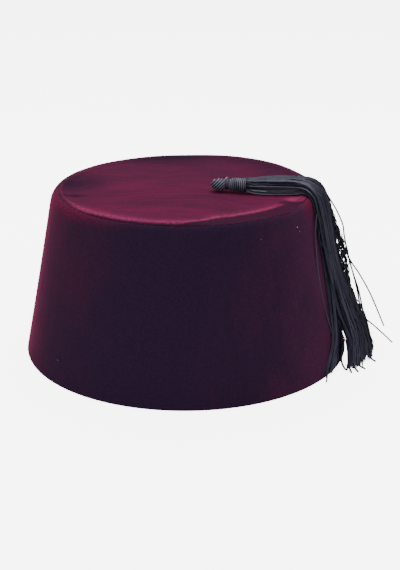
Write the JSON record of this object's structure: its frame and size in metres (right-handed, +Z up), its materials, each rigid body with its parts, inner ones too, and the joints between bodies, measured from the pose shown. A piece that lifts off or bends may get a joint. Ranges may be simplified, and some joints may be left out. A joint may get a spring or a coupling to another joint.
{
  "type": "fez hat",
  "caption": "Velvet fez with a stiff tapered crown, a flat top with a rolled edge, and a silk tassel that lies across the top and falls down one side.",
  "frame": {"origin": "centre of the head opening, on the plane that the rim rests on", "axes": "+Z up through the crown's axis, +X towards the side that the tassel falls on"},
  "size_m": [0.2063, 0.1898, 0.1045],
  "materials": {
    "velvet_side": "dark wine velvet with a short nap",
    "velvet_top": "wine velvet with brushed nap",
    "wound_silk": "wound blue-grey silk thread, soft gloss",
    "loose_silk": "loose near-black silk strands, soft gloss"
  },
  "bodies": {
    "root": {"crown_side": "velvet_side", "crown_top": "velvet_top", "tassel_ball": "wound_silk", "tassel_collar": "wound_silk", "tassel_skirt": "loose_silk"}
  },
  "joints": []
}
